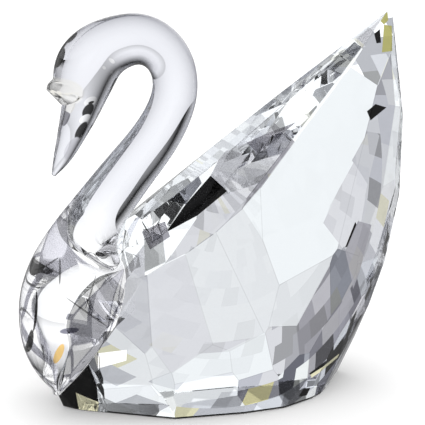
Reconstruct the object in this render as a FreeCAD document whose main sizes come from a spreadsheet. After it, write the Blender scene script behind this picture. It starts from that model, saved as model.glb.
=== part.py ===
import FreeCAD, Part
import math
import os

# Clear crystal swan, millimetres.  The swan faces -Y, its tail points to +Y, X = 0 is its
# mirror plane and +Z is up.  The origin is the middle of the flat underside.
# Three pieces: a faceted body, a smooth breast-neck-head piece, and the film of adhesive
# that joins them on one sloping flat face.

Vector = FreeCAD.Vector
doc = FreeCAD.newDocument("CrystalSwan")
sheet = doc.addObject("Spreadsheet::Sheet", "Dimensions")
next_row = 1


def dimension(alias, value, note=""):
    """Write one driving dimension into the sheet and give it its alias."""
    global next_row
    sheet.set("A%d" % next_row, note or alias)
    sheet.set("B%d" % next_row, "%.4f" % value)
    sheet.setAlias("B%d" % next_row, alias)
    next_row += 1


def size(alias):
    """Read a driving dimension back from the sheet."""
    return float(sheet.get(alias))


def heading(azimuth, rise):
    """Unit vector: azimuth turns from +X towards +Y, rise lifts it towards +Z (degrees)."""
    turn, lift = math.radians(azimuth), math.radians(rise)
    return Vector(math.cos(lift) * math.cos(turn), math.cos(lift) * math.sin(turn), math.sin(lift))


# ---------------------------------------------------------------- driving dimensions

dimension("joint_back", -39.7, "back position of the glued face where the breast ends")
dimension("joint_up", 4.5, "height of that same point")
dimension("joint_lean", 26.3, "lean of the glued face from the vertical, degrees")
dimension("film", 0.12, "thickness of the adhesive film")
dimension("block_width", 60.0, "width and depth of the block that trims the neck piece")
dimension("block_height", 70.0, "its length along the slope of the glued face")
dimension("block_top", 50.0, "how far up the slope it reaches, clear of the upper neck")
dimension("crown_front_back", -17.0, "front end of the flat back facet, back position")
dimension("crown_front_up", 49.5, "front end of the flat back facet, height")
dimension("tip_back", 54.6, "tail tip, back position")
dimension("tip_up", 99.5, "tail tip, height")
dimension("knob_back", -36.9, "centre of the forehead knob, back position")
dimension("knob_up", 84.3, "centre of the forehead knob, height")
dimension("knob_length", 3.3, "half height of the knob")
dimension("knob_width", 6.0, "half width of the knob")
dimension("knob_depth", 4.5, "half depth of the knob")
dimension("beak_flat_back", -36.1, "flat pressed on the beak: back position of its upper end")
dimension("beak_flat_up", 81.5, "height of that same end")
dimension("beak_flat_lean", 18.5, "lean of the flat from the vertical, degrees")
dimension("beak_flat_length", 10.8, "length of the flat down to its point")
dimension("beak_press", 12.0, "width of the press that makes the flat")

# Neck stations from beak tip to breast point:
# centre back, centre up, half depth in the mirror plane, half width, tilt of the section.
NECK = [
    (-40.2, 62.9, 0.75, 0.7, 150),
    (-38.9, 65.2, 1.8, 1.6, 151),
    (-37.2, 68.6, 2.8, 2.3, 154),
    (-35.4, 72.8, 3.7, 3.1, 158),
    (-33.9, 77.6, 5.1, 4.3, 161),
    (-33.3, 82.1, 6.8, 5.4, 160),
    (-32.3, 86.9, 8.2, 6.2, 154),
    (-30.1, 91.2, 8.4, 6.6, 141),
    (-26.3, 94.3, 7.6, 6.6, 122),
    (-21.8, 95.8, 6.9, 6.6, 104),
    (-17.3, 96.2, 6.6, 6.4, 83),
    (-12.9, 94.6, 6.2, 6.2, 58),
    (-9.3, 91.2, 5.9, 5.9, 33),
    (-7.3, 86.6, 5.8, 5.8, 11),
    (-7.2, 81.2, 5.85, 5.85, -9),
    (-9.3, 75.3, 6.0, 6.0, -27),
    (-13.9, 68.4, 6.3, 6.3, -38),
    (-19.6, 62.0, 6.6, 6.6, -41),
    (-25.2, 55.5, 7.0, 7.0, -40),
    (-30.0, 49.3, 7.7, 7.6, -35),
    (-32.8, 43.6, 9.7, 9.4, -20),
    (-34.4, 37.6, 12.7, 11.7, -4),
    (-33.2, 31.0, 16.3, 14.0, 0),
    (-32.0, 24.5, 18.0, 14.8, 0),
    (-33.0, 18.0, 16.4, 11.6, 0),
    (-35.5, 12.2, 11.8, 8.0, 0),
    (-37.9, 7.6, 6.4, 4.4, 0),
    (-39.4, 4.6, 2.2, 1.6, 0),
]
for index, (back, up, depth, width, tilt) in enumerate(NECK):
    dimension("neck_back_%02d" % index, back)
    dimension("neck_up_%02d" % index, up)
    dimension("neck_depth_%02d" % index, depth)
    dimension("neck_width_%02d" % index, width)
    dimension("neck_tilt_%02d" % index, tilt)

# Belly line, where the tall side facets end: half width, back, up.
BELLY = [
    (9.0, -38.5, 20.0), (14.5, -31.0, 20.3), (20.3, -21.5, 20.3), (24.0, -7.6, 20.8),
    (25.0, 6.8, 22.3), (22.0, 19.8, 28.0), (17.2, 32.8, 40.0), (11.8, 42.0, 54.0),
    (6.2, 49.8, 73.0), (2.6, 53.0, 88.5), (0.3, 54.5, 99.0),
]
# Keel line in the mirror plane, from under the breast round to the tail tip: back, up.
KEEL = [
    (-44.0, -6.0), (-26.0, -14.0), (0.0, -17.0), (22.0, -15.0), (35.5, 0.0), (47.6, 18.0),
    (55.8, 40.0), (58.3, 62.0), (57.4, 80.0), (55.6, 93.0), (54.9, 99.4),
]
for index, (half, back, up) in enumerate(BELLY):
    dimension("belly_half_%02d" % index, half)
    dimension("belly_back_%02d" % index, back)
    dimension("belly_up_%02d" % index, up)
for index, (back, up) in enumerate(KEEL):
    dimension("keel_back_%02d" % index, back)
    dimension("keel_up_%02d" % index, up)

# Chin facets, then the tall side facets from breast to tail: azimuth, rise, distance from
# the origin.
SIDE_FACETS = [
    ("chin_top", -38.4, -6.0, 27.6), ("chin_low", -37.6, -18.0, 24.3),
    ("chin_front", -49.0, -13.0, 29.2), ("chin_point", -58.0, -20.0, 31.0),
    ("side_a", -30.5, 3.0, 29.5), ("side_b", -14.5, 4.0, 26.45), ("side_c", -5.5, 6.5, 26.9),
    ("side_d", 1.5, 9.5, 28.85), ("side_e", 7.0, 12.6, 31.7), ("side_f", 11.0, 12.3, 31.84),
    ("side_tip", 12.3, 14.1, 35.2), ("side_g", 13.0, 5.3, 28.5), ("side_k", 19.0, 8.4, 33.05),
    ("side_p", 22.0, 7.1, 33.35),
]
for name, azimuth, rise, distance in SIDE_FACETS:
    dimension(name + "_azimuth", azimuth)
    dimension(name + "_rise", rise)
    dimension(name + "_distance", distance)

# Back facets beside the flat middle one: place along the back, half width there.
BACK_EDGE = [(-4.0, 2.0), (10.0, 4.4), (28.0, 4.8), (50.0, 3.6), (70.0, 1.8), (86.0, 0.2)]
BACK_TILTS = [16.0, 21.0, 24.0, 27.0, 30.0]
for index, (along, half) in enumerate(BACK_EDGE):
    dimension("back_along_%02d" % index, along)
    dimension("back_half_%02d" % index, half)
for index, tilt in enumerate(BACK_TILTS):
    dimension("back_tilt_%02d" % index, tilt)

# Upper rim of the tall side facets, where the narrow rim facets start: half width, back, up.
RIM = [(21.0, -4.8, 49.2), (20.1, 3.3, 54.1), (14.6, 21.9, 68.6)]
RIM_TILTS = [46.0, 49.0, 51.0]
for index, (half, back, up) in enumerate(RIM):
    dimension("rim_half_%02d" % index, half)
    dimension("rim_back_%02d" % index, back)
    dimension("rim_up_%02d" % index, up)
for index, tilt in enumerate(RIM_TILTS):
    dimension("rim_tilt_%02d" % index, tilt)

doc.recompute()

# ---------------------------------------------------------------- the glued face

lean = math.radians(size("joint_lean"))
joint_point = Vector(0, size("joint_back"), size("joint_up"))
joint_normal = Vector(0, -math.cos(lean), math.sin(lean))


def behind(name):
    """Block with one face on the glued plane, reaching from there back into the body."""
    block = doc.addObject("Part::Box", name)
    block.setExpression("Length", "Dimensions.block_width")
    block.setExpression("Width", "Dimensions.block_height")
    block.setExpression("Height", "Dimensions.block_width")
    turn = FreeCAD.Rotation(Vector(0, 0, 1), joint_normal * -1)
    corner = turn.multVec(Vector(-size("block_width") / 2, -size("block_top"), 0))
    block.Placement = FreeCAD.Placement(joint_point + corner, turn)
    return block


# ---------------------------------------------------------------- breast, neck and head

sections = []
for index in range(len(NECK)):
    section = doc.addObject("Part::Ellipse", "NeckSection%02d" % index)
    turn = FreeCAD.Rotation(Vector(1, 0, 0), size("neck_tilt_%02d" % index))
    section.Placement = FreeCAD.Placement(
        Vector(0, 0, 0), turn.multiply(FreeCAD.Rotation(Vector(0, 0, 1), 90)))
    section.setExpression("MajorRadius", "Dimensions.neck_depth_%02d" % index)
    section.setExpression("MinorRadius", "Dimensions.neck_width_%02d" % index)
    section.setExpression("Placement.Base.y", "Dimensions.neck_back_%02d" % index)
    section.setExpression("Placement.Base.z", "Dimensions.neck_up_%02d" % index)
    sections.append(section)

gather = doc.addObject("Part::Loft", "Gather")
gather.Sections = sections
gather.Solid = True
gather.Ruled = False

knob = doc.addObject("Part::Ellipsoid", "Knob")
knob.setExpression("Radius1", "Dimensions.knob_length")
knob.setExpression("Radius2", "Dimensions.knob_width")
knob.setExpression("Radius3", "Dimensions.knob_depth")
knob.setExpression("Placement.Base.y", "Dimensions.knob_back")
knob.setExpression("Placement.Base.z", "Dimensions.knob_up")

press = doc.addObject("Part::Box", "BeakPress")
press.setExpression("Length", "Dimensions.beak_press")
press.setExpression("Width", "Dimensions.beak_press")
press.setExpression("Height", "Dimensions.beak_flat_length")
lean_back = FreeCAD.Rotation(Vector(1, 0, 0), -size("beak_flat_lean"))
corner = Vector(-size("beak_press") / 2, -size("beak_press"), -size("beak_flat_length"))
press.Placement = FreeCAD.Placement(
    Vector(0, size("beak_flat_back"), size("beak_flat_up")) + lean_back.multVec(corner), lean_back)

blank = doc.addObject("Part::Fuse", "NeckBlank")
blank.Base = gather
blank.Tool = knob

pressed = doc.addObject("Part::Cut", "PressedNeck")
pressed.Base = blank
pressed.Tool = press

neck = doc.addObject("Part::Cut", "Neck")
neck.Base = pressed
neck.Tool = behind("BehindNeck")
neck.Label = "neck_and_head"

# ---------------------------------------------------------------- adhesive film

film_slab = behind("BehindFilm")
film_slab.setExpression("Height", "Dimensions.film")
bond = doc.addObject("Part::Common", "Bond")
bond.Base = gather
bond.Tool = film_slab
bond.Label = "bond_layer"

# ---------------------------------------------------------------- faceted body

STATIONS = 121
LEVELS = 41


def spread(points):
    """Smooth curve through the points, cut into equally long steps."""
    curve = Part.BSplineCurve()
    curve.interpolate(points)
    return curve.toShape().discretize(Number=STATIONS)


belly = spread([Vector(size("belly_half_%02d" % i), size("belly_back_%02d" % i),
                       size("belly_up_%02d" % i)) for i in range(len(BELLY))])
keel = spread([Vector(0, size("keel_back_%02d" % i), size("keel_up_%02d" % i))
               for i in range(len(KEEL))])


def hull_point(station, level):
    """Point of the rounded hull the lower facets touch; level 0 is belly, 1 is keel."""
    place = station / (STATIONS - 1)
    fullness = 2.7 - 1.1 * min(max((place - 0.30) / 0.35, 0.0), 1.0)
    angle = level * math.pi / 2
    down = math.sin(angle) ** (2 / fullness)
    inward = max(math.cos(angle), 0.0) ** (2 / fullness)
    point = belly[station] + (keel[station] - belly[station]) * down
    point.x = belly[station].x * inward
    return point


hull = [[hull_point(i, j / (LEVELS - 1)) for j in range(LEVELS)] for i in range(STATIONS)]
hull_points = [point for rib in hull for point in rib]


def hull_facet(station, level):
    """Plane that touches the hull, facing the way the hull faces at this place."""
    i = min(max(int(round(station * (STATIONS - 1))), 1), STATIONS - 2)
    j = min(max(int(round(level * (LEVELS - 1))), 1), LEVELS - 2)
    normal = (hull[i + 1][j] - hull[i - 1][j]).cross(hull[i][j + 1] - hull[i][j - 1])
    normal.normalize()
    if normal.x < 0:
        normal = normal * -1
    return normal, max(normal.dot(point) for point in hull_points)


crown_start = Vector(0, size("crown_front_back"), size("crown_front_up"))
tail_tip = Vector(0, size("tip_back"), size("tip_up"))
along_back = (tail_tip - crown_start).normalize()
crown_up = Vector(0, -along_back.z, along_back.y)


def tilted(turn, tilt):
    """Facet direction: the flat back facet's, leaning sideways by tilt, turned by turn."""
    side = Vector(math.cos(turn), 0, 0) + along_back * math.sin(turn)
    return crown_up * math.cos(math.radians(tilt)) + side * math.sin(math.radians(tilt))


def rim_facet(start, end, tilt):
    """Facet of the given tilt that holds the rim edge from start to end."""
    edge = end - start
    across, lengthwise, rise = edge.x, edge.dot(along_back), edge.dot(crown_up)
    reach = math.hypot(across, lengthwise)
    turn = math.asin(-rise / math.tan(math.radians(tilt)) / reach) - math.atan2(across, lengthwise)
    normal = tilted(turn, tilt)
    return normal, normal.dot(start)


def back_facet(index):
    """Facet beside the flat back facet, hinged on one stretch of its edge."""
    start, end = "%02d" % index, "%02d" % (index + 1)
    narrowing = size("back_half_" + start) - size("back_half_" + end)
    turn = math.atan2(narrowing, size("back_along_" + end) - size("back_along_" + start))
    normal = tilted(turn, size("back_tilt_" + start))
    edge = crown_start + along_back * size("back_along_" + start)
    edge.x = size("back_half_" + start)
    return normal, normal.dot(edge)


facets = []
for name, _, _, _ in SIDE_FACETS:
    facets.append((heading(size(name + "_azimuth"), size(name + "_rise")),
                   size(name + "_distance")))

# Four rows of small facets between the belly line and the keel: level at the breast end,
# level at the tail end, first and last place along the body.
PLACES = [0.05, 0.13, 0.215, 0.30, 0.375, 0.445, 0.515, 0.59, 0.68, 0.79, 0.91]
ROWS = [(0.045, 0.16, 0.0, 0.55), (0.14, 0.40, 0.1, 1.0), (0.26, 0.64, 0.1, 1.0),
        (0.37, 0.88, 0.4, 1.0)]
for fore, aft, first, last in ROWS:
    for place in PLACES:
        if first <= place <= last:
            blend = min(max((place - 0.25) / 0.4, 0.0), 1.0)
            facets.append(hull_facet(place, fore + (aft - fore) * blend))

rim = [Vector(size("rim_half_%02d" % i), size("rim_back_%02d" % i), size("rim_up_%02d" % i))
       for i in range(len(RIM))] + [tail_tip]
for index in range(len(RIM)):
    facets.append(rim_facet(rim[index], rim[index + 1], size("rim_tilt_%02d" % index)))
for index in range(len(BACK_TILTS)):
    facets.append(back_facet(index))


CLOSE = 1e-6


def corners_of_box(low, high):
    """Six corner loops of an upright box."""
    corner = [[Vector(x, y, z) for z in (low.z, high.z)] for x, y in (
        (low.x, low.y), (high.x, low.y), (high.x, high.y), (low.x, high.y))]
    loops = [[column[0] for column in corner], [column[1] for column in corner]]
    for i in range(4):
        following = corner[(i + 1) % 4]
        loops.append([corner[i][0], following[0], following[1], corner[i][1]])
    return loops


def ring(points, normal):
    """Corners of one flat facet in order around its middle, doubles left out."""
    single = []
    for point in points:
        if all(point.distanceToPoint(other) > 10 * CLOSE for other in single):
            single.append(point)
    middle = sum(single[1:], single[0]) * (1 / len(single))
    first = (single[0] - middle).normalize()
    second = normal.cross(first)
    return sorted(single, key=lambda p: math.atan2((p - middle).dot(second), (p - middle).dot(first)))


def grind(loops, normal, distance):
    """Grind one facet: take away everything further than distance along normal."""
    kept, cut_points = [], []
    for loop in loops:
        heights = [normal.dot(point) - distance for point in loop]
        if max(heights) <= CLOSE:
            kept.append(loop)
            continue
        trimmed = []
        for i, point in enumerate(loop):
            before, above, below = loop[i - 1], heights[i], heights[i - 1]
            if min(above, below) < -CLOSE and max(above, below) > CLOSE:
                crossing = before + (point - before) * (below / (below - above))
                trimmed.append(crossing)
                cut_points.append(crossing)
            if above <= CLOSE:
                trimmed.append(point)
                if above >= -CLOSE:
                    cut_points.append(point)
        if len(trimmed) > 2:
            kept.append(trimmed)
    if len(cut_points) > 2:
        kept.append(ring(cut_points, normal))
    return kept


stone = corners_of_box(Vector(-35, -55, 0), Vector(35, 75, 115))
stone = grind(stone, crown_up, crown_up.dot(crown_start))
stone = grind(stone, joint_normal, joint_normal.dot(joint_point) - size("film"))
for normal, distance in facets:
    stone = grind(stone, normal, distance)
    stone = grind(stone, Vector(-normal.x, normal.y, normal.z), distance)

stone_faces = [Part.Face(Part.makePolygon(loop + [loop[0]])) for loop in stone]
stone_shell = Part.makeShell(stone_faces)
stone_shell.sewShape()
body = doc.addObject("Part::Feature", "Body")
body.Shape = Part.makeSolid(stone_shell)
body.Placement = FreeCAD.Placement()
body.Label = "body_crystal"

# ---------------------------------------------------------------- check and write

doc.recompute()
for item in doc.Objects:
    if "Invalid" in item.State or "Error" in item.State:
        raise RuntimeError("%s did not build: %s" % (item.Name, item.State))

os.makedirs("parts", exist_ok=True)
for item in (body, neck, bond):
    if item.Shape.isNull() or not item.Shape.isValid():
        raise RuntimeError("%s has no valid shape" % item.Label)
    item.Shape.exportStep("parts/%s.step" % item.Label)
    box = item.Shape.BoundBox
    print("%s: %d faces, %.0f mm3, x %.1f..%.1f y %.1f..%.1f z %.1f..%.1f" % (
        item.Label, len(item.Shape.Faces), item.Shape.Volume,
        box.XMin, box.XMax, box.YMin, box.YMax, box.ZMin, box.ZMax))
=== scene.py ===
"""Looks of the clear crystal swan: cut body, drawn neck and head, and the film between them."""

import math

import bmesh
import bpy
import numpy as np
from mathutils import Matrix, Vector


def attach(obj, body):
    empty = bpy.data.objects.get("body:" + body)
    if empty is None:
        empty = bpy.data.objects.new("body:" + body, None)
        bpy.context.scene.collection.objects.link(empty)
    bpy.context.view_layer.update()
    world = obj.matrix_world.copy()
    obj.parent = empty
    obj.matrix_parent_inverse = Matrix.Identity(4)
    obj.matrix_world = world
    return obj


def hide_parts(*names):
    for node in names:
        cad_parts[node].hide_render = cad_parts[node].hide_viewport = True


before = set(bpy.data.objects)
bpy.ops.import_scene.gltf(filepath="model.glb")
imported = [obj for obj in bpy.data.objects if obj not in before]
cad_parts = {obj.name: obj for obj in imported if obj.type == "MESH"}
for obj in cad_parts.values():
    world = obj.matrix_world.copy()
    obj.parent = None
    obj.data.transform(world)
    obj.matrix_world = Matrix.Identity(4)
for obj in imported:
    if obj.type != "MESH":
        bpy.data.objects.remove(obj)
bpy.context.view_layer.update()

MM = 0.001

# ---------------------------------------------------------------- camera

CAMERA_AZIMUTH = 68.0          # degrees round the swan; 0 looks along +Y, 90 along -X
CAMERA_ELEVATION = 14.5        # degrees above the floor
CAMERA_DISTANCE = 600 * MM
CAMERA_TARGET = Vector((1.16, 2.86, 48.67)) * MM
CAMERA_LENS = 193.1
CAMERA_SENSOR = 36             # its width; lens and sensor in millimetres

# ---------------------------------------------------------------- drawn neck piece

# Stations from beak tip to breast point, millimetres and degrees:
# centre back, centre up, half depth in the mirror plane, half width, tilt of the section.
NECK = [
    (-40.2, 62.9, 0.75, 0.7, 150),
    (-38.9, 65.2, 1.8, 1.6, 151),
    (-37.2, 68.6, 2.8, 2.3, 154),
    (-35.4, 72.8, 3.7, 3.1, 158),
    (-33.9, 77.6, 5.1, 4.3, 161),
    (-33.3, 82.1, 6.8, 5.4, 160),
    (-32.3, 86.9, 8.2, 6.2, 154),
    (-30.1, 91.2, 8.4, 6.6, 141),
    (-26.3, 94.3, 7.6, 6.6, 122),
    (-21.8, 95.8, 6.9, 6.6, 104),
    (-17.3, 96.2, 6.6, 6.4, 83),
    (-12.9, 94.6, 6.2, 6.2, 58),
    (-9.3, 91.2, 5.9, 5.9, 33),
    (-7.3, 86.6, 5.8, 5.8, 11),
    (-7.2, 81.2, 5.85, 5.85, -9),
    (-9.3, 75.3, 6.0, 6.0, -27),
    (-13.9, 68.4, 6.3, 6.3, -38),
    (-19.6, 62.0, 6.6, 6.6, -41),
    (-25.2, 55.5, 7.0, 7.0, -40),
    (-30.0, 49.3, 7.7, 7.6, -35),
    (-32.8, 43.6, 9.7, 9.4, -20),
    (-34.4, 37.6, 12.7, 11.7, -4),
    (-33.2, 31.0, 16.3, 14.0, 0),
    (-32.0, 24.5, 18.0, 14.8, 0),
    (-33.0, 18.0, 16.4, 11.6, 0),
    (-35.5, 12.2, 11.8, 8.0, 0),
    (-37.9, 7.6, 6.4, 4.4, 0),
    (-39.4, 4.6, 2.2, 1.6, 0),
]
RINGS = 480                    # sections along the neck
AROUND = 96                    # points round each section
SMOOTHING = 60                 # times the sections are evened out
DOME_STEPS = 8                 # sections that round off each end
JOINT_TOP = 52 * MM            # the glued face ends below this; the neck above it isn't cut
KNOB = Vector((0, -36.9, 84.3)) * MM           # centre of the knob's ellipsoid
KNOB_RADII = Vector((6.1, 4.6, 3.4)) * MM
KNOB_ROOT = Vector((0, -33.8, 84.3)) * MM      # inside the head; the knob swells away from it
KNOB_BLEND = 0.35 * MM
KNOB_LIP = (83.0 * MM, 0.8 * MM, 0.10)         # height, spread and swell of its lower lip
KNOB_CREASE = (81.4 * MM, 0.6 * MM, -0.06)     # and of the crease under the lip
KNOB_REACH = 2.6               # how far from its root the knob is felt, in knob half depths
BEAK_TOP = Vector((0, -36.1, 81.5)) * MM       # the flat pressed on the beak: upper end
BEAK_END = Vector((0, -39.6, 71.2)) * MM       # and lower end, in the mirror plane
BEAK_DEPTH = 4 * MM            # the press reaches this far back from the flat's upper end


def natural_spline(places, values, wanted):
    """Natural cubic spline through values at places, read at the wanted places."""
    count = len(places)
    steps = np.diff(places)
    system = np.eye(count)
    known = np.zeros((count, values.shape[1]))
    slopes = np.diff(values, axis=0) / steps[:, None]
    for i in range(1, count - 1):
        system[i, i - 1:i + 2] = steps[i - 1], 2 * (steps[i - 1] + steps[i]), steps[i]
        known[i] = 6 * (slopes[i] - slopes[i - 1])
    bend = np.linalg.solve(system, known)
    span = np.clip(np.searchsorted(places, wanted) - 1, 0, count - 2)
    width = steps[span][:, None]
    late = (wanted - places[span])[:, None] / width
    early = 1 - late
    curve = (early ** 3 - early) * bend[span] + (late ** 3 - late) * bend[span + 1]
    return early * values[span] + late * values[span + 1] + curve * width ** 2 / 6


def evened(rows, times):
    """Rows averaged with their neighbours, the two ends kept."""
    for _ in range(times):
        rows[1:-1] = (rows[:-2] + 2 * rows[1:-1] + rows[2:]) / 4
    return rows


def neck_rings():
    """Closely spaced sections of the neck, beak tip first."""
    stations = np.array(NECK, float)
    gaps = np.hypot(*np.diff(stations[:, :2], axis=0).T)
    places = np.concatenate([[0], np.cumsum(gaps)])
    wanted = np.linspace(0, places[-1], RINGS)
    return evened(natural_spline(places, stations, wanted), SMOOTHING)


def ring_points(back, up, depth, width, tilt):
    """One closed section of the neck, in metres."""
    lean = math.radians(tilt)
    points = []
    for step in range(AROUND):
        turn = 2 * math.pi * step / AROUND
        out = depth * math.cos(turn)
        points.append(Vector((width * math.sin(turn), back + out * math.cos(lean),
                              up + out * math.sin(lean))) * MM)
    return points


def capped(rings):
    """The sections with a rounded end added at each end."""
    ends = []
    for first, second in ((rings[0], rings[1]), (rings[-1], rings[-2])):
        away = (first[:2] - second[:2]) / np.hypot(*(first[:2] - second[:2]))
        reach = min(first[2], first[3])
        dome = []
        for step in range(1, DOME_STEPS + 1):
            rise = math.pi / 2 * step / (DOME_STEPS + 0.5)
            section = first.copy()
            section[:2] += away * reach * math.sin(rise)
            section[2:4] *= math.cos(rise)
            dome.append(section)
        ends.append(dome)
    return ends[0][::-1] + list(rings) + ends[1]


def press_beak(mesh):
    """Press the top of the beak flat from the knob down; its sides stand proud as two ridges."""
    along = (BEAK_END - BEAK_TOP).normalized()
    outward = Vector((0, along.z, -along.y))
    for vertex in mesh.verts:
        offset = vertex.co - BEAK_TOP
        if BEAK_END.z < vertex.co.z < KNOB.z and vertex.co.y < BEAK_TOP.y + BEAK_DEPTH:
            proud = offset.dot(outward)
            if proud > 0:
                vertex.co -= outward * proud


def raise_knob(mesh):
    """Swell the forehead above the beak into the swan's knob, with a lip along its lower edge."""
    root = Vector([(KNOB_ROOT - KNOB)[i] / KNOB_RADII[i] for i in range(3)])
    for vertex in mesh.verts:
        offset = vertex.co - KNOB_ROOT
        apart = offset.length
        if apart > KNOB_REACH * KNOB_RADII.y:
            continue
        ray = Vector([offset[i] / apart / KNOB_RADII[i] for i in range(3)])
        middle, square = root.dot(ray), ray.dot(ray)
        reach = (math.sqrt(middle ** 2 - square * (root.dot(root) - 1)) - middle) / square
        for height, spread, swell in (KNOB_LIP, KNOB_CREASE):
            reach *= 1 + swell * math.exp(-((vertex.co.z - height) / spread) ** 2)
        blended = (apart + reach + math.hypot(apart - reach, KNOB_BLEND)) / 2
        vertex.co = KNOB_ROOT + offset * (blended / apart)


def neck_mesh(joint_point, joint_normal):
    """Breast, neck, head and beak as one closed skin, cut flat where it is glued."""
    mesh = bmesh.new()
    rows = [[mesh.verts.new(p) for p in ring_points(*row)] for row in capped(neck_rings())]
    for near, far in zip(rows, rows[1:]):
        for i in range(AROUND):
            j = (i + 1) % AROUND
            mesh.faces.new((near[i], near[j], far[j], far[i]))
    mesh.faces.new(rows[0][::-1])
    mesh.faces.new(rows[-1])
    bmesh.ops.recalc_face_normals(mesh, faces=mesh.faces)
    press_beak(mesh)
    raise_knob(mesh)
    for face in mesh.faces:
        face.smooth = True
    low = {v for v in mesh.verts if v.co.z < JOINT_TOP}
    geometry = [part for part in mesh.verts[:] if part in low]
    geometry += [part for part in mesh.edges[:] + mesh.faces[:]
                 if all(v in low for v in part.verts)]
    cut = bmesh.ops.bisect_plane(mesh, geom=geometry, plane_co=joint_point,
                                 plane_no=joint_normal, clear_inner=True)
    rim = [e for e in cut["geom_cut"] if isinstance(e, bmesh.types.BMEdge)]
    made = bmesh.ops.contextual_create(mesh, geom=rim)["faces"]
    for face in made:
        face.smooth = False
        face.material_index = 1
    for edge in rim:
        edge.smooth = False
    outline = [v.co.copy() for v in made[0].verts]
    return mesh, outline


# ---------------------------------------------------------------- cut body

WELD = 0.001 * MM              # corners closer than this are one corner
FLATNESS = math.radians(0.3)   # triangles within this angle belong to one facet


def glued_facet(mesh):
    """The facet that the breast is glued to: the largest one that faces forward."""
    return max((f for f in mesh.faces if f.normal.y < -0.5), key=lambda f: f.calc_area())


def facets_of(node):
    """The CAD node's solid as a mesh with one polygon for each flat facet."""
    mesh = bmesh.new()
    mesh.from_mesh(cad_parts[node].data)
    bmesh.ops.remove_doubles(mesh, verts=mesh.verts, dist=WELD)
    bmesh.ops.dissolve_limit(mesh, angle_limit=FLATNESS, verts=mesh.verts,
                             edges=mesh.edges, delimit=set())
    mesh.normal_update()
    glued = glued_facet(mesh)
    crisp = [e for e in mesh.edges if glued not in e.link_faces]
    bmesh.ops.bevel(mesh, geom=crisp, offset=BEVEL, offset_type="OFFSET", segments=1,
                    affect="EDGES")
    mesh.normal_update()
    for face in mesh.faces:
        face.smooth = False
    return mesh


def mark_footprint(mesh, facet, outline):
    """Divide the glued facet along the breast's outline, and mark what is inside it."""
    point, normal = facet.calc_center_median(), facet.normal.copy()
    rim = list(facet.edges)
    bmesh.ops.delete(mesh, geom=[facet], context="FACES_ONLY")
    loop = [mesh.verts.new(p - normal * (p - point).dot(normal)) for p in outline]
    inner = [mesh.edges.new((a, b)) for a, b in zip(loop, loop[1:] + loop[:1])]
    filled = bmesh.ops.triangle_fill(mesh, use_beauty=True, edges=rim + inner, normal=normal)
    around = [part for part in filled["geom"] if isinstance(part, bmesh.types.BMFace)]
    inside = mesh.faces.new(loop)
    inside.material_index = 1
    for face in around + [inside]:
        face.smooth = False
        face.normal_update()
        if face.normal.dot(normal) < 0:
            face.normal_flip()


# Painted reflection and shade tones for the clear facets, linear colour.
PAINTED_LIGHT_TONES = {
    "clear": (1.0, 1.0, 1.0), "frost": (0.90, 0.93, 0.95), "pale": (0.76, 0.79, 0.82),
    "pearl": (0.66, 0.69, 0.71), "fog": (0.59, 0.61, 0.63), "lilac": (0.54, 0.55, 0.58),
    "silver": (0.44, 0.45, 0.48), "ash": (0.37, 0.37, 0.40), "grey": (0.30, 0.30, 0.33),
    "slate": (0.20, 0.21, 0.24), "black": (0.004, 0.004, 0.004),
    "straw": (0.62, 0.60, 0.42), "olive": (0.36, 0.35, 0.13),
}
# A facet takes the painted tone of the nearest of these places (back, up, whole millimetres); the
# last number says how strongly painted broken reflections show in it.  Both sides are painted
# alike.
PAINTED_FACET_TONES = [
    (-28, 15, "fog", 0.6), (-26, 4, "pale", 0.5), (-36, 5, "black", 0.3), (-39, 2, "clear", 0.0),
    (-24, 27, "silver", 0.2), (-15, 28, "lilac", 0.06), (-3, 32, "fog", 0.08),
    (5, 40, "fog", 0.05), (7, 53, "pearl", 0.05), (27, 58, "pearl", 0.0), (49, 89, "frost", 0.7),
    (18, 30, "fog", 0.1), (44, 60, "silver", 0.5), (-20, 16, "fog", 0.1), (-8, 15, "pearl", 0.1),
    (4, 16, "pearl", 0.12), (13, 17, "lilac", 0.5), (24, 24, "ash", 0.5), (33, 33, "slate", 0.3),
    (-18, 10, "pearl", 0.3), (-8, 8, "pale", 0.4), (6, 7, "lilac", 0.9), (17, 8, "pearl", 1.0),
    (27, 14, "grey", 0.8), (36, 24, "grey", 0.8), (42, 31, "pale", 0.7), (47, 43, "lilac", 0.5),
    (53, 62, "fog", 0.2), (55, 83, "pale", 0.3), (-16, 4, "frost", 0.5), (-6, 2, "fog", 0.7),
    (9, 2, "frost", 0.9), (21, 2, "frost", 1.0), (30, 9, "frost", 1.0), (39, 18, "clear", 0.8),
    (46, 27, "silver", 0.7), (52, 40, "lilac", 0.5), (56, 60, "fog", 0.3), (56, 81, "fog", 0.3),
    (36, 9, "fog", 1.0), (40, 8, "fog", 1.0), (2, 54, "silver", 0.0), (14, 64, "grey", 0.3),
    (36, 83, "lilac", 0.3), (-15, 50, "frost", 0.0), (-10, 51, "fog", 0.5), (8, 65, "pale", 0.3),
    (27, 79, "pale", 0.3), (14, 67, "lilac", 0.3), (11, 69, "silver", 0.5),
]
# Painted broken reflections: share of the glass where each tone starts, and the tone.
PAINTED_SHARD_REFLECTIONS = [
    (0.001, (1.0, 1.0, 1.0)), (0.30, (0.72, 0.73, 0.78)), (0.45, (1.0, 1.0, 0.97)),
    (0.58, (0.80, 0.74, 0.36)), (0.61, (0.42, 0.42, 0.46)), (0.78, (0.16, 0.16, 0.19)),
    (0.90, (0.01, 0.01, 0.01)),
]
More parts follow.
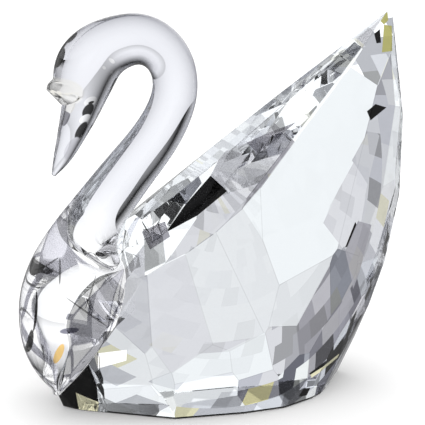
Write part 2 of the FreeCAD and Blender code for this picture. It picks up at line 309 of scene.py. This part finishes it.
# The fainter painted reflections of the adhesive film, given in the same way.
FILM_PAINTED_REFLECTIONS = [
    (0.001, (1.0, 1.0, 1.0)), (0.45, (0.94, 0.94, 0.96)), (0.65, (1.0, 1.0, 1.0)),
    (0.84, (0.84, 0.84, 0.87)),
]
FILM_CELLS = 95.0              # per metre
FILM_SCATTER = 0.9             # how irregular they are, 0 to 1
FILM_LINE = 0.035              # width of the painted dark lines between them, share of a cell
FILM_PAINTED_LINE_SHADE = (0.60, 0.60, 0.63)
SHARD_CENTRE = (-2, 62)        # middle of their curved rows: back, up, millimetres
SHARD_HEIGHT = 4.6             # of one row, millimetres
SHARD_TURN = 7.5               # of one quad, degrees
SHARD_LEAN = 9.0               # radians per metre
SHARD_STAGGER = 0.37           # each row starts this share of a quad later
SHARD_DARKENING = 0.5          # stronger painted reflections are also darker ones, by this share
BEVEL = 0.12 * MM              # polished edge between two facets
PAINTED_EDGE_SHADE = 0.88               # painted shade: those edges are darker than the facets beside them
CROWN_START = Vector((0, -17.0, 49.5)) * MM    # the flat back facet runs from here
TAIL_TIP = Vector((0, 54.6, 99.5)) * MM        # to here
PATCH_FACING = 0.3             # a patch lies on facets turned towards its direction by this cosine
PATCH_PAST_MIDDLE = 0.1 * MM   # and may cross the mirror plane by this much
PATCH_SHARDS = 0.15            # strength of the painted broken reflections inside a patch
# Painted reflections, the clearest single ones on the swan's left, and a painted contact shadow:
# where, tone, corners in millimetres.
# On the side a corner is back and up; on the crown, across from the middle and along it.
PAINTED_LIGHT_PATCHES = [
    ("side", "black", [(-39, 12), (-35, 14), (-33, 8), (-32, 2), (-36, 4)]),
    ("side", "black", [(-41, 7), (-37, 7), (-35, 0), (-41, 0)]),
    ("side", "straw", [(-37, 5), (-32, 3), (-32, 0), (-36, 0)]),
    ("side", "clear", [(-34, 17), (-27, 19), (-27, 16), (-33, 13)]),
    # painted contact shadow: a black strip along the foot
    ("side", "black", [(-30, 0.5), (31, 0.5), (31, 0), (-30, 0)]),
    ("side", "lilac", [(-19, 20), (4, 21), (-4, 18), (-19, 18)]),
    ("side", "silver", [(42, 73), (32, 55), (38, 62), (43, 55), (48, 67)]),
    ("side", "lilac", [(33, 55), (27, 48), (33, 40), (39, 42), (43, 55), (38, 62)]),
    ("side", "black", [(34, 40), (38, 46), (38.5, 45), (35, 40)]),
    ("side", "grey", [(34, 39), (39, 46), (44, 44), (40, 34), (37, 28)]),
    ("side", "black", [(44, 74), (47, 75.5), (51, 74), (45, 71.5)]),
    ("side", "olive", [(52, 95.5), (54.5, 95), (54, 88.5), (50.5, 88.5)]),
    ("side", "olive", [(51, 96.5), (53.5, 99), (53.5, 96.5), (52, 95.5)]),
    ("side", "black", [(48.5, 93.5), (50.5, 94.5), (50.5, 91), (49, 91)]),
    ("side", "black", [(22, 8), (34.5, 12), (34, 10), (22.5, 7.5)]),
    ("side", "straw", [(22.5, 7.5), (34, 10), (33.5, 9), (23, 6.5)]),
    ("side", "black", [(19, 2), (20.5, 4), (23, 3.5), (22, 1.5)]),
    ("crown", "frost", [(-1, 42), (14, 42), (9, 73), (-1, 74)]),
    ("crown", "black", [(7, 20), (14, 20), (14.5, 10), (12, 1), (9, 10)]),
    ("crown", "slate", [(1, 19), (7, 17), (9, 10), (3, 7)]),
    ("crown", "silver", [(3, 28), (10, 31), (12, 24), (13, 20), (7, 20)]),
    ("crown", "grey", [(6, 33), (11, 33), (10, 46)]),
    ("crown", "grey", [(9, 3), (14, 1), (13, -5), (6, -3)]),
]


def surface_axes(surface):
    """Origin, both measuring directions and the direction that points out of a surface."""
    if surface == "side":
        return Vector(), Vector((0, 1, 0)), Vector((0, 0, 1)), Vector((1, 0, 0))
    along = (TAIL_TIP - CROWN_START).normalized()
    return CROWN_START, Vector((1, 0, 0)), along, Vector((0, -along.z, along.y))


def lay_patch(mesh, layer, number, surface, corners):
    """Cut the facets along the sides of a painted patch, and number the parts inside it."""
    start, first, second, outward = surface_axes(surface)
    middle = Vector((sum(c[0] for c in corners), sum(c[1] for c in corners))) / len(corners)
    sides = []
    for a, b in zip(corners, corners[1:] + corners[:1]):
        normal = Vector((b[1] - a[1], a[0] - b[0])).normalized()
        if normal.dot(middle - Vector(a)) > 0:
            normal.negate()
        sides.append((normal, normal.dot(Vector(a)) * MM))

    def place(point):
        return Vector(((point - start).dot(first), (point - start).dot(second)))

    def in_reach(face):
        return (face.normal.dot(outward) >= PATCH_FACING
                and face.calc_center_median().x >= -PATCH_PAST_MIDDLE)

    def touched(face):
        spots = [place(v.co) for v in face.verts]
        return all(min(normal.dot(p) for p in spots) < limit for normal, limit in sides)

    for normal, limit in sides:
        faces = [face for face in mesh.faces if in_reach(face) and touched(face)]
        geometry = list({part for face in faces for part in face.verts[:] + face.edges[:]}) + faces
        solid_normal = first * normal.x + second * normal.y
        bmesh.ops.bisect_plane(mesh, geom=geometry, plane_co=start + solid_normal * limit,
                               plane_no=solid_normal)
    for face in mesh.faces:
        if in_reach(face):
            spot = place(face.calc_center_median())
            if all(normal.dot(spot) < limit for normal, limit in sides):
                face[layer] = number


def paint_facet_light(mesh):
    """Give each facet its painted reflection and shade; the alpha says how strongly painted broken
    reflections show in it.
    """
    patch = mesh.faces.layers.int.new("patch")
    nearest = mesh.faces.layers.int.new("nearest")
    for face in mesh.faces:
        middle = face.calc_center_median() / MM
        face[nearest] = min(range(len(PAINTED_FACET_TONES)), key=lambda i: (
            (PAINTED_FACET_TONES[i][0] - middle.y) ** 2 + (PAINTED_FACET_TONES[i][1] - middle.z) ** 2))
    # painted reflections and the painted contact shadow, laid patch by patch
    for number, (surface, _, corners) in enumerate(PAINTED_LIGHT_PATCHES, 1):
        lay_patch(mesh, patch, number, surface, corners)
    # painted reflection and shade of each facet, carried into the glass's colour
    layer = mesh.loops.layers.float_color.new("painted_facet_tone")
    for face in mesh.faces:
        tone, shards = PAINTED_FACET_TONES[face[nearest]][2:]
        if face[patch]:
            tone, shards = PAINTED_LIGHT_PATCHES[face[patch] - 1][1], PATCH_SHARDS
        # painted contact shadow: the faces at floor level are painted black
        if face.calc_center_median().z < BEVEL:
            tone, shards = "black", 0.0
        # painted shade on the narrow polished edges
        edge_shade = PAINTED_EDGE_SHADE if face.calc_area() < face.calc_perimeter() * BEVEL else 1.0
        for loop in face.loops:
            loop[layer] = (*(edge_shade * value for value in PAINTED_LIGHT_TONES[tone]), shards)


# ---------------------------------------------------------------- materials

CRYSTAL_INDEX = 1.545
CRYSTAL_GLOSS = (0.35, 0.35, 0.35)             # tint of the surface reflections
# The neck piece's painted shade: its colour seen face on and seen edge on, below and above the
# fade.
BREAST_PAINTED_SHADE = (0.90, 0.91, 0.92), (0.35, 0.35, 0.38)
THROAT_PAINTED_SHADE = (0.70, 0.71, 0.75), (0.07, 0.07, 0.10)
EDGE_BLEND = 0.62              # how early a surface counts as seen edge on
NECK_FOOT = 40 * MM            # the breast's nearly clear glass turns into the neck's greyer painted shade from here
NECK_FADE = 16 * MM            # over this height
SPOT_EDGE = 0.25               # soft share of a spot's reach
SPOT_PAST_MIDDLE = 0.6 * MM    # a spot of one side may cross the mirror plane by this much
WHITE, CREAM, BLACK = (1.0, 1.0, 1.0), (0.66, 0.65, 0.61), (0.003, 0.003, 0.003)
AMBER, SMOKE = (0.80, 0.38, 0.06), (0.10, 0.10, 0.10)
# Painted reflections, highlights and dark marks on the head, neck and breast (the knob's light
# cream too):
# side (1 is the swan's left), colour, middle back and up, half length, half width (millimetres) and
# lean (degrees).
PAINTED_NECK_REFLECTIONS = [
    (1, WHITE, -32.0, 82.0, 1.9, 1.3, 20), (1, BLACK, -31.8, 81.7, 0.9, 0.4, 10),
    (1, BLACK, -32.5, 79.6, 2.2, 1.5, 60), (1, WHITE, -33.2, 77.4, 1.7, 1.1, 30),
    (1, BLACK, -34.0, 74.2, 2.9, 1.3, 62), (1, (0.45, 0.45, 0.50), -36.2, 69.6, 3.4, 1.7, 62),
    (-1, BLACK, -37.4, 93.4, 3.8, 1.0, 66),
    (1, BLACK, -38.5, 92.9, 3.2, 0.5, 66), (1, BLACK, -34.9, 98.2, 3.4, 0.5, 43),
    (1, WHITE, -26.6, 92.2, 1.1, 0.5, -40), (1, WHITE, -28.7, 90.6, 0.6, 0.4, -40),
    (1, WHITE, -26.4, 89.0, 0.4, 0.4, 0),
    (1, CREAM, -39.0, 84.3, 5.4, 3.9, 0), (-1, CREAM, -39.0, 84.3, 5.4, 3.9, 0),
    (1, CREAM, -36.6, 80.3, 1.5, 0.6, 71), (1, (0.05, 0.05, 0.06), -37.6, 77.2, 2.0, 0.5, 71),
    (1, BLACK, -47.9, 28.5, 6.0, 0.25, 84), (1, BLACK, -48.8, 20.0, 4.0, 0.5, 88),
    (1, AMBER, -42.8, 17.6, 3.4, 1.0, 80), (1, (0.06, 0.06, 0.09), -41.0, 24.6, 2.4, 0.9, 10),
    (1, SMOKE, -44.2, 40.6, 3.4, 0.2, 39), (1, SMOKE, -42.0, 39.4, 3.4, 0.25, 81),
    (1, SMOKE, -36.5, 29.2, 6.8, 0.25, -39), (1, SMOKE, -35.2, 34.2, 4.8, 0.2, 64),
]


class Graph:
    """A node tree with short ways to add nodes to it."""

    def __init__(self, tree):
        self.tree = tree

    def add(self, kind, **settings):
        node = self.tree.nodes.new(kind)
        for name, value in settings.items():
            setattr(node, name, value)
        return node

    def feed(self, socket, value):
        """Link an output to the socket, or set the socket's own value."""
        if isinstance(value, bpy.types.NodeSocket):
            self.tree.links.new(value, socket)
        elif isinstance(value, tuple) and len(value) == 3 and socket.type == "RGBA":
            socket.default_value = (*value, 1)
        else:
            socket.default_value = value

    def math(self, operation, *values):
        node = self.add("ShaderNodeMath", operation=operation)
        for socket, value in zip(node.inputs, values):
            self.feed(socket, value)
        return node.outputs[0]

    def mix(self, factor, base, other, blend="MIX"):
        node = self.add("ShaderNodeMix", data_type="RGBA", blend_type=blend)
        for index, value in ((0, factor), (6, base), (7, other)):
            self.feed(node.inputs[index], value)
        return node.outputs[2]

    def limited(self, value):
        """The value kept between 0 and 1."""
        return self.math("MINIMUM", self.math("MAXIMUM", value, 0.0), 1.0)

    def axes(self):
        """Place on the piece in the CAD frame: side, back and up, in metres."""
        place = self.add("ShaderNodeTexCoord")
        split = self.add("ShaderNodeSeparateXYZ")
        self.feed(split.inputs[0], place.outputs["Object"])
        return split.outputs


def node_material(name, shader):
    """New material with one shader on its output: the material, its graph, the shader."""
    material = bpy.data.materials.new(name)
    material.use_nodes = True
    material.node_tree.nodes.clear()
    graph = Graph(material.node_tree)
    shade = graph.add(shader)
    output = graph.add("ShaderNodeOutputMaterial")
    graph.feed(output.inputs["Surface"], shade.outputs[0])
    return material, graph, shade


def crystal(name):
    """Clear crystal with a polished surface."""
    material, graph, glass = node_material(name, "ShaderNodeBsdfPrincipled")
    graph.feed(glass.inputs["Roughness"], 0.0)
    graph.feed(glass.inputs["IOR"], CRYSTAL_INDEX)
    graph.feed(glass.inputs["Transmission Weight"], 1.0)
    graph.feed(glass.inputs["Specular Tint"], CRYSTAL_GLOSS)
    return material, graph, glass


def tone_ramp(graph, value, tones):
    """The tone whose share of 0 to 1 the value falls in."""
    ramp = graph.add("ShaderNodeValToRGB")
    ramp.color_ramp.interpolation = "CONSTANT"
    for position, colour in tones:
        ramp.color_ramp.elements.new(position).color = (*colour, 1)
    ramp.color_ramp.elements.remove(ramp.color_ramp.elements[0])
    ramp.color_ramp.elements.remove(ramp.color_ramp.elements[-1])
    graph.feed(ramp.inputs["Fac"], value)
    return ramp.outputs["Color"]


def painted_broken_reflections(graph, strength):
    """Painted broken reflections: small leaning quads in curved rows, each with a random tone of
    the painted shard list.
    """
    side, back, up = graph.axes()
    back = graph.math("SUBTRACT", back, SHARD_CENTRE[0] * MM)
    down = graph.math("SUBTRACT", SHARD_CENTRE[1] * MM, up)
    radius = graph.math("SQRT", graph.math("ADD", graph.math("POWER", back, 2.0),
                                           graph.math("POWER", down, 2.0)))
    turn = graph.math("ARCTAN2", back, down)
    row = graph.math("FLOOR", graph.math("DIVIDE", radius, SHARD_HEIGHT * MM))
    leaning = graph.math("ADD", turn, graph.math("MULTIPLY", radius, SHARD_LEAN))
    column = graph.math("DIVIDE", leaning, math.radians(SHARD_TURN))
    stagger = graph.math("MULTIPLY", row, SHARD_STAGGER)
    column = graph.math("FLOOR", graph.math("ADD", column, stagger))
    cell = graph.add("ShaderNodeCombineXYZ")
    for socket, value in zip(cell.inputs, (row, column, graph.math("SIGN", side))):
        graph.feed(socket, value)
    chance = graph.add("ShaderNodeTexWhiteNoise")
    graph.feed(chance.inputs["Vector"], cell.outputs[0])
    darker = graph.math("SUBTRACT", 1.0, graph.math("MULTIPLY", strength, SHARD_DARKENING))
    # painted reflections: a random tone for each quad
    return tone_ramp(graph, graph.math("POWER", chance.outputs["Value"], darker), PAINTED_SHARD_REFLECTIONS)


def cut_glass(name):
    """Crystal whose facets show their painted reflection and shade where a line of sight goes in,
    not where it comes out.

    The tone is squared, because the shader tints by its square root."""
    material, graph, glass = crystal(name)
    # the facets' painted reflection and shade
    tone = graph.add("ShaderNodeAttribute", attribute_name="painted_facet_tone")
    strength = tone.outputs["Alpha"]
    colour = graph.mix(strength, tone.outputs["Color"], painted_broken_reflections(graph, strength),
                       "MULTIPLY")
    squared = graph.mix(1.0, colour, colour, "MULTIPLY")
    leaving = graph.add("ShaderNodeNewGeometry").outputs["Backfacing"]
    graph.feed(glass.inputs["Base Color"], graph.mix(leaving, squared, (1.0, 1.0, 1.0)))
    return material


def spot(graph, axes, back, up, length, width, lean):
    """1 inside an ellipse seen from the side, 0 outside: millimetres and degrees."""
    turn = math.radians(lean)
    behind = graph.math("SUBTRACT", axes[1], back * MM)
    above = graph.math("SUBTRACT", axes[2], up * MM)
    along = graph.math("ADD", graph.math("MULTIPLY", behind, math.cos(turn)),
                       graph.math("MULTIPLY", above, math.sin(turn)))
    aside = graph.math("SUBTRACT", graph.math("MULTIPLY", above, math.cos(turn)),
                       graph.math("MULTIPLY", behind, math.sin(turn)))
    reach = graph.math("ADD", graph.math("POWER", graph.math("DIVIDE", along, length * MM), 2.0),
                       graph.math("POWER", graph.math("DIVIDE", aside, width * MM), 2.0))
    return graph.limited(graph.math("DIVIDE", graph.math("SUBTRACT", 1.0, reach), SPOT_EDGE))


def drawn_glass(name):
    """Fire-polished crystal with painted shade, greyer where it is seen edge on, and a few painted
    hard reflections.
    """
    material, graph, glass = crystal(name)
    slant = graph.add("ShaderNodeLayerWeight")
    graph.feed(slant.inputs["Blend"], EDGE_BLEND)
    axes = graph.axes()
    # painted shade: greyer where seen edge on and higher up the neck
    upper = graph.mix(slant.outputs["Facing"], *THROAT_PAINTED_SHADE)
    lower = graph.mix(slant.outputs["Facing"], *BREAST_PAINTED_SHADE)
    height = graph.math("DIVIDE", graph.math("SUBTRACT", axes[2], NECK_FOOT), NECK_FADE)
    tint = graph.mix(graph.limited(height), lower, upper)
    # painted reflections and highlights laid over the neck's painted shade
    for side, colour, *shape in PAINTED_NECK_REFLECTIONS:
        half = graph.math("GREATER_THAN", graph.math("MULTIPLY", axes[0], side),
                          -SPOT_PAST_MIDDLE)
        tint = graph.mix(graph.math("MULTIPLY", half, spot(graph, axes, *shape)), tint, colour)
    graph.feed(glass.inputs["Base Color"], tint)
    return material


def seamless(name):
    """The glued faces: the adhesive has the crystal's own index, so light goes straight through."""
    return node_material(name, "ShaderNodeBsdfTransparent")[0]


def clear_film(name):
    """The adhesive: clear, with painted broken dark reflections of the joint on it."""
    material, graph, film = node_material(name, "ShaderNodeBsdfTransparent")
    place = graph.add("ShaderNodeTexCoord")
    cells = graph.add("ShaderNodeTexVoronoi")
    edges = graph.add("ShaderNodeTexVoronoi", feature="DISTANCE_TO_EDGE")
    for texture in (cells, edges):
        graph.feed(texture.inputs["Vector"], place.outputs["Object"])
        graph.feed(texture.inputs["Scale"], FILM_CELLS)
        graph.feed(texture.inputs["Randomness"], FILM_SCATTER)
    split = graph.add("ShaderNodeSeparateColor")
    graph.feed(split.inputs[0], cells.outputs["Color"])
    line = graph.math("LESS_THAN", edges.outputs["Distance"], FILM_LINE)
    # painted reflections: a tone for each cell and dark lines between them
    colour = graph.mix(line, tone_ramp(graph, split.outputs[0], FILM_PAINTED_REFLECTIONS), FILM_PAINTED_LINE_SHADE)
    graph.feed(film.inputs["Color"], colour)
    return material


PAPER_WHITE = (0.8, 0.8, 0.8)  # where the camera sees it, so that it takes a shadow
# How brightly the paper glows for each kind of ray: straight to the camera, through glass,
# and in a reflection.
GLOW_STRAIGHT, GLOW_THROUGH, GLOW_REFLECTED = 0.1, 1.0, 0.35


def paper(name):
    """White paper; in the glass it is seen evenly bright, without its shadow."""
    material, graph, matt = node_material(name, "ShaderNodeBsdfPrincipled")
    path = graph.add("ShaderNodeLightPath").outputs
    straight = path["Is Camera Ray"]
    graph.feed(matt.inputs["Base Color"], graph.mix(straight, (0.0, 0.0, 0.0), PAPER_WHITE))
    graph.feed(matt.inputs["Roughness"], 1.0)
    graph.feed(matt.inputs["Specular IOR Level"], 0.0)
    graph.feed(matt.inputs["Emission Color"], (1.0, 1.0, 1.0))
    glow = graph.math("ADD", graph.math("MULTIPLY", straight, GLOW_STRAIGHT),
                      graph.math("MULTIPLY", path["Is Transmission Ray"], GLOW_THROUGH))
    glow = graph.math("ADD", glow,
                      graph.math("MULTIPLY", path["Is Glossy Ray"], GLOW_REFLECTED))
    graph.feed(matt.inputs["Emission Strength"], glow)
    return material


# ---------------------------------------------------------------- pieces

FILM_THICKNESS = 0.12 * MM     # of the adhesive between the two crystals


def piece(name, mesh, materials, node):
    """Put a finished mesh into the scene in place of its CAD node."""
    data = bpy.data.meshes.new(name)
    mesh.to_mesh(data)
    mesh.free()
    for material in materials:
        data.materials.append(material)
    made = bpy.data.objects.new(name, data)
    bpy.context.scene.collection.objects.link(made)
    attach(made, "root")
    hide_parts(node)
    return made


glass = cut_glass("cut_crystal")
drawn = drawn_glass("drawn_crystal")
joined = seamless("glued_face")

body = facets_of("body_crystal")
facet = glued_facet(body)
joint_normal = facet.normal.copy()
joint_point = facet.calc_center_median() + joint_normal * FILM_THICKNESS
neck, outline = neck_mesh(joint_point, joint_normal)
mark_footprint(body, facet, outline)
paint_facet_light(body)
piece("swan_body", body, [glass, joined], "body_crystal")
piece("swan_neck", neck, [drawn, joined], "neck_and_head")
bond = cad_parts["bond_layer"]
bond.data.materials.clear()
bond.data.materials.append(clear_film("clear_adhesive"))

# ---------------------------------------------------------------- floor and light

FLOOR = 3.0                    # half width, metres
FLOOR_DROP = 0.15 * MM         # the floor lies this far under the swan
floor_corners = [(x * FLOOR, y * FLOOR, -FLOOR_DROP)
                 for x, y in ((-1, -1), (1, -1), (1, 1), (-1, 1))]
floor_data = bpy.data.meshes.new("floor")
floor_data.from_pydata(floor_corners, [], [(0, 1, 2, 3)])
floor_data.materials.append(paper("floor_paper"))
floor = bpy.data.objects.new("floor", floor_data)
bpy.context.scene.collection.objects.link(floor)


def heading(azimuth, elevation):
    """Unit vector from the swan towards a place in the studio; azimuth as the camera's."""
    turn, lift = math.radians(azimuth), math.radians(elevation)
    level = math.cos(lift)
    return Vector((math.sin(turn) * level, -math.cos(turn) * level, math.sin(lift)))


class Studio(Graph):
    """The world: soft-edged cards in the dark, seen only through and in the glass."""

    def __init__(self):
        self.world = bpy.data.worlds.new("studio")
        bpy.context.scene.world = self.world
        self.world.use_nodes = True
        super().__init__(self.world.node_tree)
        self.tree.nodes.clear()
        self.direction = self.add("ShaderNodeTexCoord").outputs["Generated"]

    def along(self, vector):
        node = self.add("ShaderNodeVectorMath", operation="DOT_PRODUCT")
        self.feed(node.inputs[0], self.direction)
        node.inputs[1].default_value = vector
        return node.outputs["Value"]

    def card(self, base, azimuth, elevation, width, height, soft, colour):
        """Lay a card over base: half width and half height in degrees, soft edge in degrees."""
        middle = heading(azimuth, elevation)
        right = heading(azimuth + 90, 0)
        up = middle.cross(right)
        faces = self.along(middle)
        across = self.math("ARCTAN2", self.along(right), faces)
        rise = self.math("ARCTAN2", self.along(up), faces)
        edge = math.radians(soft)
        inside = None
        for offset, half in ((across, width), (rise, height)):
            share = self.math("SUBTRACT", math.radians(half) + edge / 2,
                              self.math("ABSOLUTE", offset))
            share = self.limited(self.math("DIVIDE", share, edge))
            inside = share if inside is None else self.math("MULTIPLY", inside, share)
        return self.mix(inside, base, colour)

    def finish(self, seen_in_glass, plain, on_floor):
        """Straight to the camera the studio is plain; matt surfaces are lit evenly."""
        path = self.add("ShaderNodeLightPath")
        colour = self.mix(path.outputs["Is Diffuse Ray"], seen_in_glass, on_floor)
        colour = self.mix(path.outputs["Is Camera Ray"], colour, plain)
        shade = self.add("ShaderNodeBackground")
        output = self.add("ShaderNodeOutputWorld")
        self.feed(shade.inputs["Color"], colour)
        self.feed(output.inputs["Surface"], shade.outputs["Background"])


# Cards in the dark studio: azimuth, elevation, half width, half height, soft edge (degrees)
# and brightness.  Left and right are as the camera sees them.
CARDS = [
    (235, 12, 32, 17, 24, 1.45),     # large card behind the swan
    (318, 20, 26, 24, 24, 1.35),     # left, a little behind
    (73, 11, 13, 11, 6, 1.0),        # in front, just beside the camera
    (108, 24, 14, 24, 10, 0.6),      # front right
    (132, 25, 11, 20, 8, 0.9),       # right
    (165, 8, 10, 12, 6, 0.4),        # far right
    (50, 30, 10, 8, 5, 0.5),         # high front left
    (75, 48, 45, 26, 15, 0.55),      # overhead, in front
    (5, 50, 35, 16, 12, 0.9),        # overhead, front left
    (330, 55, 35, 18, 15, 0.6),      # overhead, left
]
STUDIO_DARK = (0.03, 0.03, 0.03)     # between the cards
STUDIO_PLAIN = (1.0, 1.0, 1.0)       # straight to the camera
STUDIO_ON_FLOOR = (1.8, 1.8, 1.8)    # on matt surfaces


def light_studio():
    """Lay the cards over the dark studio and light the scene with it."""
    studio = Studio()
    seen = STUDIO_DARK
    for azimuth, elevation, width, height, soft, bright in CARDS:
        seen = studio.card(seen, azimuth, elevation, width, height, soft, (bright,) * 3)
    studio.finish(seen, STUDIO_PLAIN, STUDIO_ON_FLOOR)


light_studio()

BOUNCES = 40                   # enough for light to find its way out of the facets
scene = bpy.context.scene
camera_data = bpy.data.cameras.new("camera")
camera_data.lens = CAMERA_LENS
camera_data.sensor_width = CAMERA_SENSOR
camera_data.clip_start = 0.01
camera_data.clip_end = 20
camera = bpy.data.objects.new("camera", camera_data)
away = heading(CAMERA_AZIMUTH, CAMERA_ELEVATION)
camera.location = CAMERA_TARGET + away * CAMERA_DISTANCE
camera.rotation_mode = "QUATERNION"
camera.rotation_quaternion = (-away).to_track_quat("-Z", "Y")
scene.collection.objects.link(camera)
scene.camera = camera

scene.view_settings.view_transform = "Standard"
scene.cycles.use_denoising = True
scene.cycles.max_bounces = BOUNCES
scene.cycles.glossy_bounces = BOUNCES
scene.cycles.transmission_bounces = BOUNCES
scene.cycles.transparent_max_bounces = BOUNCES
scene.cycles.diffuse_bounces = 4
scene.cycles.blur_glossy = 0.0
scene.cycles.caustics_reflective = False
scene.cycles.caustics_refractive = False
